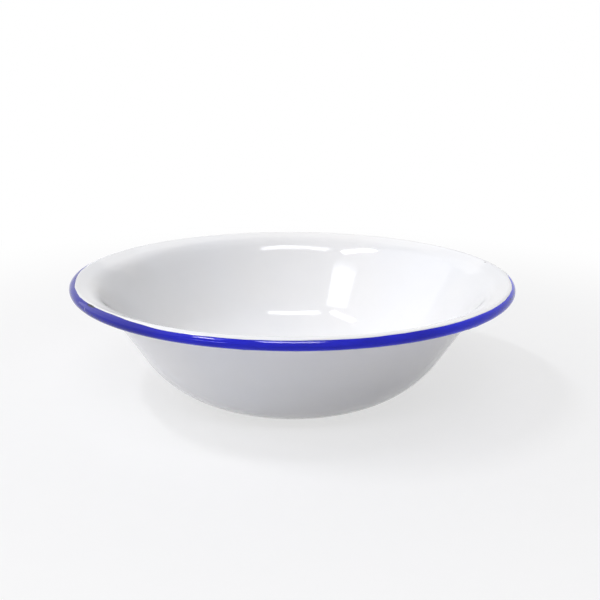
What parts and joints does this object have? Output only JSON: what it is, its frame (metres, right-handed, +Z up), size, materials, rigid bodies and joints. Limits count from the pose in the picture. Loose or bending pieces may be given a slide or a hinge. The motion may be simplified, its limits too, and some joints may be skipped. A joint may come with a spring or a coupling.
{
  "type": "enamel basin bowl",
  "caption": "Round white enamel basin bowl with a flat base, a flared wall, a rolled hollow rim and a blue rim band, pressed from sheet steel and coated inside and outside.",
  "frame": {"origin": "centre of the flat base, at the height of the table", "axes": "+Z up along the bowl's axis of revolution, +X to the right and +Y away from the viewer"},
  "size_m": [0.24, 0.24, 0.067],
  "materials": {
    "sheet_steel": "bare pressed sheet, sealed under the enamel",
    "ground_enamel": "dark fused ground coat, seen only where the cover coat is chipped",
    "white_enamel": "glossy white fused enamel with a slight ripple",
    "blue_enamel": "glossy blue fused enamel with a hand-laid edge"
  },
  "bodies": {
    "root": {"steel_shell": "sheet_steel", "ground_coat_inside": "ground_enamel", "ground_coat_outside": "ground_enamel", "white_enamel_inside": "white_enamel", "white_enamel_outside": "white_enamel", "blue_rim_band": "blue_enamel"}
  },
  "joints": []
}
